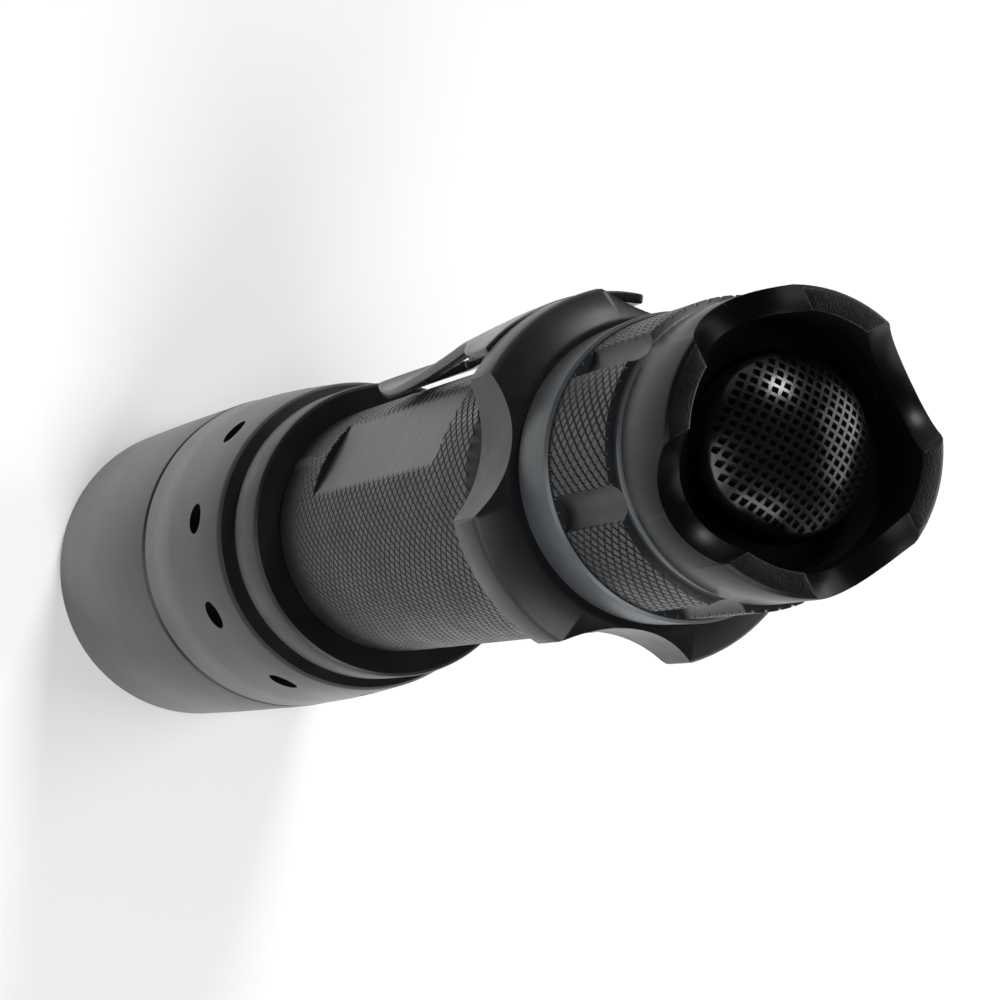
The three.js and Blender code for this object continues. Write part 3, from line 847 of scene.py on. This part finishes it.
class FLASHLIGHT_OT_clip(bpy.types.Operator):
    """Add the pocket clip: its collar, and the slotted spring arm"""

    bl_idname = "flashlight.clip"
    bl_label = "Pocket clip"

    def execute(self, context):
        self.add_collar()
        self.add_arm()
        return {"FINISHED"}

    def add_collar(self):
        bottom, top = span("clip_collar")
        inner, outer = THREAD_RADIUS + 0.3, 12.3
        band = [
            [inner, bottom], [outer - 0.15, bottom], [outer, bottom + 0.15], [outer, top - 0.15],
            [outer - 0.15, top], [inner, top], [inner, bottom],
        ]
        collar = spun("clip_band", band, ROUND_STEPS)
        half = math.radians(16)
        start = math.radians(CLIP_ANGLE) - half
        riser_profile = [
            [11.8, bottom + 0.05], [15.0, bottom + 0.05], [15.0, top - 0.05], [11.8, top - 0.05],
            [11.8, bottom + 0.05],
        ]
        riser = spun("clip_riser", riser_profile, 16, 2 * half, start)
        boolean(collar, riser, "UNION")
        finished(collar, "barrel", ["clip_collar"], finish_of("black_steel"))

    def add_arm(self):
        """A strip drawn along the arm's outer face, holed for the slot, then thickened and smoothed."""
        stations = (
            (CLIP_TOP, 16.6, 8.0), (125.9, 16.62, 8.05), (122.2, 16.6, 8.0), (120.6, 16.45, 7.6), (119.0, 16.3, 6.2),
            (117.0, 16.05, 5.2), (114.6, 15.72, 5.0), (113.4, 15.56, 5.0), (109.5, 15.12, 5.0), (105, 14.7, 4.95),
            (101, 14.38, 4.9), (97.4, 14.15, 4.8), (96.2, 14.1, 4.75), (93.8, 14.02, 4.6), (92.2, 14.1, 4.45),
            (90.6, 14.45, 4.2), (89.6, 14.8, 3.8), (89.2, 14.95, 3.4),
        )
        slot_low, slot_high, slot_half = 97.4, 113.4, 0.5
        columns = (-1, -0.78, -slot_half, 0, slot_half, 0.78, 1)
        arm = new_point("clip_spring")
        draw_line([Vector((out, columns[0], height)) * MM for height, out, half in stations])
        for left, right in zip(columns, columns[1:]):
            if left == columns[0]:
                bpy.ops.mesh.select_all(action="SELECT")
            bpy.ops.mesh.extrude_region_move(TRANSFORM_OT_translate={"value": (0, (right - left) * MM, 0)})
        tidy_mesh()
        leave_edit()
        for height, out, half in stations:
            for column in columns:
                self.shape_point(arm, height, out, half, column)
        edit(arm)
        bpy.ops.mesh.select_mode(type="FACE")
        bpy.ops.mesh.select_all(action="DESELECT")
        leave_edit()
        for face in arm.data.polygons:
            middle = face.center / MM
            face.select = slot_low < middle.z < slot_high and abs(middle.y) < 2
        bpy.ops.object.mode_set(mode="EDIT")
        bpy.ops.mesh.delete(type="FACE")
        bpy.ops.mesh.select_mode(type="VERT")
        if arm.data.polygons[0].normal.x < 0:
            bpy.ops.mesh.select_all(action="SELECT")
            bpy.ops.mesh.flip_normals()
        leave_edit()
        bpy.ops.object.modifier_add(type="SOLIDIFY")
        thick = arm.modifiers[-1]
        thick.thickness = 0.95 * MM
        thick.offset = -1
        bpy.ops.object.modifier_apply(modifier=thick.name)
        bevel_sharp(arm, 0.14, 1, lambda middle: True, 40)
        bpy.ops.object.modifier_add(type="SUBSURF")
        smooth = arm.modifiers[-1]
        smooth.levels = smooth.render_levels = 2
        bpy.ops.object.modifier_apply(modifier=smooth.name)
        place(arm, CLIP_ANGLE)
        finished(arm, "clip", ["clip_arm"], finish_of("black_steel"), 50)

    def shape_point(self, arm, height, out, half, column):
        """Widens one point of the strip to its row's width, and droops it where the root wraps round."""
        across = column * half
        wrap = min(max((height - 114) / 8, 0.12), 1)
        drop = (out - math.sqrt(out**2 - across**2)) * wrap
        for point in arm.data.vertices:
            if (point.co / MM - Vector((out, column, height))).length < 0.01:
                point.co = Vector((out - drop, across, height)) * MM
                return


# ---------------------------------------------------------------- tail


class FLASHLIGHT_OT_tail_cap(bpy.types.Operator):
    """Add the tail cap: band, fluted knurl, shoulder and scalloped rim"""

    bl_idname = "flashlight.tail_cap"
    bl_label = "Tail cap"

    def execute(self, context):
        sizes = context.scene.flashlight_sizes
        pitch = sizes.knurl_pitch / MM
        bore = THREAD_RADIUS + 0.35
        core = KNURL_RADIUS - KNURL_SEAT
        band_top, knurl_top = 139.7, 150.95
        shelf = 154.8
        cap = spun("tail_casing", self.profile(bore, core, band_top, knurl_top, shelf), FINE_STEPS)
        self.scallop(cap)
        sleeve = knurled_sleeve(
            "cap_knurl", KNURL_RADIUS, core - SLEEVE_OVERLAP, band_top - 0.3, knurl_top - 0.02,
            sizes.cap_diamonds, pitch, sizes.knurl_depth / MM,
        )
        cone_profile = [
            [11.2, knurl_top + 0.3], [11.2, knurl_top + 0.15], [11.9, knurl_top - 0.12], [12.9, knurl_top - 0.75],
            [13.4, knurl_top - 0.75], [13.4, knurl_top + 0.3], [11.2, knurl_top + 0.3],
        ]
        boolean(sleeve, spun("knurl_end_cutter", cone_profile, FINE_STEPS), "DIFFERENCE")
        boolean(cap, sleeve, "UNION")
        boolean(cap, self.flute_cutters(), "DIFFERENCE")
        coat(cap, "anodised_black", "anodised_smooth", "anodised_crest", "anodised_band", "anodised_mouth")
        for face in cap.data.polygons:
            middle = face.center / MM
            face.material_index = self.finish_index(middle, band_top, shelf)
        finished(cap, "tail", ["tail_cap"], None, 26)
        return {"FINISHED"}

    def profile(self, bore, core, band_top, knurl_top, shelf):
        threads = [[bore + (0.0 if step % 2 else 0.4), 135.2 + step * THREAD_PITCH / 2] for step in range(7)]
        return [
            [bore, CAP_BOTTOM], [12.4, CAP_BOTTOM], [12.6, CAP_BOTTOM + 0.08], [12.7, CAP_BOTTOM + 0.25],
            [12.86, band_top - 0.35], [12.84, band_top - 0.2], [12.6, band_top + 0.1], [core, band_top + 0.12],
            [core, knurl_top - 0.55], [11.62, knurl_top + 0.1], [11.5, 151.3], [11.5, 151.75], [11.58, 151.9],
            [11.9, 152.12], [11.96, 152.3], [11.96, LENGTH - 0.6], [11.88, LENGTH - 0.32], [11.62, LENGTH - 0.04],
            [11.45, LENGTH], [10.05, LENGTH], [9.95, LENGTH - 0.06], [9.92, LENGTH - 0.2],
            [9.92, shelf + 0.25], [9.8, shelf + 0.05], [9.6, shelf], [7.62, shelf], [7.5, shelf - 0.12],
            [7.5, shelf - 1.4], [10, shelf - 1.4], [10, TUBE_TOP + 0.7], [bore, TUBE_TOP + 0.7],
            *reversed(threads), [bore, CAP_BOTTOM],
        ]

    def scallop(self, cap):
        wheel, depth = 5.84, 3
        deselect_all()
        bpy.ops.mesh.primitive_cylinder_add(
            vertices=128, radius=wheel * MM, depth=8 * MM, rotation=(0, math.pi / 2, 0),
            location=(11.5 * MM, 0, (LENGTH - depth + wheel) * MM),
        )
        cutter = bpy.context.object
        bpy.ops.object.transform_apply(location=True, rotation=True, scale=True)
        boolean(cap, copies_around(cutter, CRESTS, CREST_ANGLE + 180 / CRESTS), "DIFFERENCE")
        floor = LENGTH - depth
        bevel_sharp(
            cap, 0.11, 2, lambda middle: middle.z > floor - 0.3 and 9.7 < radius_of(middle) < 12.1, 30
        )

    def flute_cutters(self):
        radius, depth, bottom, top = 2.0, 0.83, 139.84, 152.0
        cutter = spun("flute_cutter", [[0, bottom], [radius, bottom], [radius, top], [0, top]], 48)
        place(cutter, 0, (KNURL_RADIUS + radius - depth, 0, 0))
        return copies_around(cutter, FLUTES, FLUTE_ANGLE)

    def finish_index(self, middle, band_top, shelf):
        """0 knurl, 1 smooth cut faces and shoulder, 2 coarse crests, 3 band, also given to the knurl's end cone and
        the flute ends as painted light, 4 mouth: inner wall and shelf, darkest, as painted shade.
        """
        distance = radius_of(middle)
        if middle.z > LENGTH - 0.05:
            return 2
        # The recess's inner wall and shelf get the darkest finish as painted shade.
        if distance < 10 and middle.z > shelf - 0.3:
            return 4
        if middle.z > 151.3:
            return 1
        # Flute ends beside the band share its lighter finish: painted light on faces turned to the lamps.
        if middle.z < band_top + 0.16:
            return 3 if distance > 11.6 else 0
        # The knurl's end cone takes the band's lighter finish: painted light on a face turned to the lamps.
        return 3 if middle.z > 150.3 and 11.4 < distance < 12.05 else 0


class FLASHLIGHT_OT_boot(bpy.types.Operator):
    """Add the domed rubber boot with its waffle of square pits"""

    bl_idname = "flashlight.boot"
    bl_label = "Switch boot"

    def execute(self, context):
        sizes = context.scene.flashlight_sizes
        bottom, top = span("boot_dome")
        radius = reach("boot_dome")
        wall_top = bottom + 3.2
        rise = top - wall_top
        sphere = (radius**2 + rise**2) / (2 * rise)
        flange_low, flange_high = span("boot_flange")
        flange_outer = reach("boot_flange")

        def dome_height(distance):
            return wall_top + rise - sphere + math.sqrt(sphere**2 - distance**2)

        steps = 26
        cap = [[radius * 0.985 * (1 - step / steps), 0] for step in range(steps + 1)]
        cap = [[distance, dome_height(distance)] for distance, _ in cap]
        inner = radius - 1.2
        under = [[inner * step / 8, dome_height(inner * step / 8) - 1.2] for step in range(9)]
        profile = [
            [inner, bottom], [inner, flange_high - 0.05], [inner, flange_low], [flange_outer, flange_low],
            [flange_outer, flange_high], [radius + 0.15, flange_high], [radius, flange_high + 0.2],
            [radius, wall_top - 0.35], *cap, *under, [inner, bottom],
        ]
        boot = spun("switch_boot", profile, FINE_STEPS)
        boolean(boot, self.pit_cutters(sizes, dome_height, radius), "DIFFERENCE")
        shade(boot, 40)
        coat(boot, "black_rubber")
        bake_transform(boot)
        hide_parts("boot_dome", "boot_flange")
        return {"FINISHED"}

    def pit_cutters(self, sizes, dome_height, radius):
        """Square tapered pins on a turned grid, each as deep as the dome is there."""
        pitch, depth = sizes.pit_pitch / MM, sizes.pit_depth / MM
        limit = radius - 0.42
        cells = int(limit / pitch) + 1
        turn = Matrix.Rotation(math.radians(PIT_ANGLE), 3, "Z")
        spots = []
        for row in range(-cells, cells + 1):
            for column in range(-cells, cells + 1):
                spot = turn @ Vector((column * pitch, row * pitch, 0))
                if spot.length <= limit:
                    spots.append(spot + Vector((0, 0, dome_height(spot.length))))
        stand, half_bottom, half_top = 0.35, 0.2, 0.32
        first = spots[0] + Vector((0, 0, (stand - depth) / 2))
        deselect_all()
        bpy.ops.mesh.primitive_cone_add(
            vertices=4, radius1=half_bottom * math.sqrt(2) * MM, radius2=half_top * math.sqrt(2) * MM,
            depth=(depth + stand) * MM, location=first * MM, rotation=(0, 0, math.radians(PIT_ANGLE + 45)),
        )
        pins = bpy.context.object
        bpy.ops.object.transform_apply(location=True, rotation=True, scale=True)
        edit(pins)
        bpy.ops.mesh.select_all(action="SELECT")
        for here, after in zip(spots, spots[1:]):
            bpy.ops.mesh.duplicate_move(TRANSFORM_OT_translate={"value": (after - here) * MM})
        leave_edit()
        return pins


# ---------------------------------------------------------------- inner works


INNER_FINISHES = {
    "led_star_board": "white_board",
    "heat_sink": "brass",
    "driver_board": "circuit_board",
    "led_wire_positive": "red_insulation",
    "led_wire_negative": "black_insulation",
    "driver_spring": "gilt_spring",
    "contact_ring": "brass",
    "battery_cell": "cell_wrap",
    "battery_button": "plain_steel",
    "boot_washer": "dark_plastic",
    "switch_body": "dark_plastic",
    "switch_plunger": "dark_plastic",
    "switch_spring": "plain_steel",
    "switch_board": "circuit_board",
    "switch_retaining_ring": "brass",
    "tail_spring": "gilt_spring",
}


class FLASHLIGHT_OT_inner_works(bpy.types.Operator):
    """Give the cell, circuits, springs and switch their materials"""

    bl_idname = "flashlight.inner_works"
    bl_label = "Inner works"

    def execute(self, context):
        for node, name in INNER_FINISHES.items():
            coat(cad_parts[node], name)
        return {"FINISHED"}


# ---------------------------------------------------------------- stage


class FLASHLIGHT_OT_stage(bpy.types.Operator):
    """Add the pale floor, the soft lamps and the camera"""

    bl_idname = "flashlight.stage"
    bl_label = "Stage"

    def execute(self, context):
        settings = context.scene.flashlight_stage
        self.add_floor(settings)
        self.add_world(context)
        self.add_lamps(settings)
        self.add_camera(context, settings)
        return {"FINISHED"}

    def add_floor(self, settings):
        deselect_all()
        bpy.ops.mesh.primitive_plane_add(size=6)
        floor = bpy.context.object
        floor.name = "floor"
        bench = NodeBench("floor_paint")
        bench.set(Roughness=0.85)
        mottle = bench.noise(3, 2)
        colour = tuple(settings.floor_colour)
        paler = tuple(min(1.0, part * 1.02) for part in colour)
        bench.link(bench.mixed(mottle, colour, paler), bench.shader.inputs["Base Color"])
        floor.data.materials.append(bench.material)

    def add_world(self, context):
        """A room that is dark overhead and pale at the horizon."""
        world = bpy.data.worlds.new("soft_room")
        world.use_nodes = True
        nodes, links = world.node_tree.nodes, world.node_tree.links
        spot = nodes.new("ShaderNodeTexCoord")
        split = nodes.new("ShaderNodeSeparateXYZ")
        fade = nodes.new("ShaderNodeMapRange")
        fade.inputs["From Min"].default_value = 0.08
        fade.inputs["From Max"].default_value = 0.5
        fade.inputs["To Min"].default_value = 0.85
        fade.inputs["To Max"].default_value = 0.02
        nodes["Background"].inputs["Color"].default_value = (0.97, 0.98, 1.0, 1)
        links.new(spot.outputs["Generated"], split.inputs["Vector"])
        links.new(split.outputs["Z"], fade.inputs["Value"])
        links.new(fade.outputs["Result"], nodes["Background"].inputs["Strength"])
        context.scene.world = world
        context.scene.view_settings.view_transform = "Standard"

    def add_lamps(self, settings):
        middle = Vector((0, 0, (cad_low[2] + cad_high[2]) / 2))
        lamps = {
            "left_softbox": ((-1.15, -0.3, 0.55), 0.9, 9),
            "lower_softbox": ((-0.2, -1.15, 0.55), 0.9, 16),
            "upper_softbox": ((0.2, 0.98, 0.8), 0.3, 8),
            "right_softbox": ((1.15, 0.1, 0.5), 1.1, 10),
        }
        for name, (spot, size, power) in lamps.items():
            data = bpy.data.lights.new(name, "AREA")
            data.size = size
            data.energy = power * settings.light_strength
            lamp = bpy.data.objects.new(name, data)
            bpy.context.collection.objects.link(lamp)
            lamp.location = Vector(spot)
            lamp.rotation_euler = (middle - lamp.location).to_track_quat("-Z", "Y").to_euler()

    def add_camera(self, context, settings):
        data = bpy.data.cameras.new("camera")
        camera = bpy.data.objects.new("camera", data)
        bpy.context.collection.objects.link(camera)
        data.sensor_width = 36
        data.lens = settings.lens
        data.clip_start = 0.01
        right = Vector((0.92323, -0.00949, 0.38413))
        up = Vector((-0.02480, 0.99614, 0.08423))
        back = right.cross(up).normalized()
        up = back.cross(right).normalized()
        camera.matrix_world = Matrix(
            (
                (right.x, up.x, back.x, -0.1034),
                (right.y, up.y, back.y, -0.0229),
                (right.z, up.z, back.z, cad_high[2] + 0.1875),
                (0, 0, 0, 1),
            )
        )
        context.scene.camera = camera


# ---------------------------------------------------------------- panel and registration


PIECE_OPERATORS = (
    FLASHLIGHT_OT_bezel,
    FLASHLIGHT_OT_head,
    FLASHLIGHT_OT_optics,
    FLASHLIGHT_OT_tube,
    FLASHLIGHT_OT_seals,
    FLASHLIGHT_OT_tactical_ring,
    FLASHLIGHT_OT_clip,
    FLASHLIGHT_OT_tail_cap,
    FLASHLIGHT_OT_boot,
    FLASHLIGHT_OT_inner_works,
    FLASHLIGHT_OT_stage,
)


class FLASHLIGHT_PT_panel(bpy.types.Panel):
    bl_label = "Tactical Flashlight"
    bl_space_type = "VIEW_3D"
    bl_region_type = "UI"
    bl_category = "Flashlight"

    def draw(self, context):
        scene = context.scene
        for name in FlashlightSizes.__annotations__:
            self.layout.prop(scene.flashlight_sizes, name)
        for name in FlashlightStage.__annotations__:
            self.layout.prop(scene.flashlight_stage, name)
        for operator in PIECE_OPERATORS:
            self.layout.operator(operator.bl_idname)


CLASSES = (FlashlightSizes, FlashlightStage, *PIECE_OPERATORS, FLASHLIGHT_PT_panel)


def register():
    for item in CLASSES:
        bpy.utils.register_class(item)
    bpy.types.Scene.flashlight_sizes = PointerProperty(type=FlashlightSizes)
    bpy.types.Scene.flashlight_stage = PointerProperty(type=FlashlightStage)


def unregister():
    del bpy.types.Scene.flashlight_stage
    del bpy.types.Scene.flashlight_sizes
    for item in reversed(CLASSES):
        bpy.utils.unregister_class(item)


def main():
    register()
    for operator in PIECE_OPERATORS:
        group, name = operator.bl_idname.split(".")
        getattr(getattr(bpy.ops, group), name)()


if __name__ == "__main__":
    main()
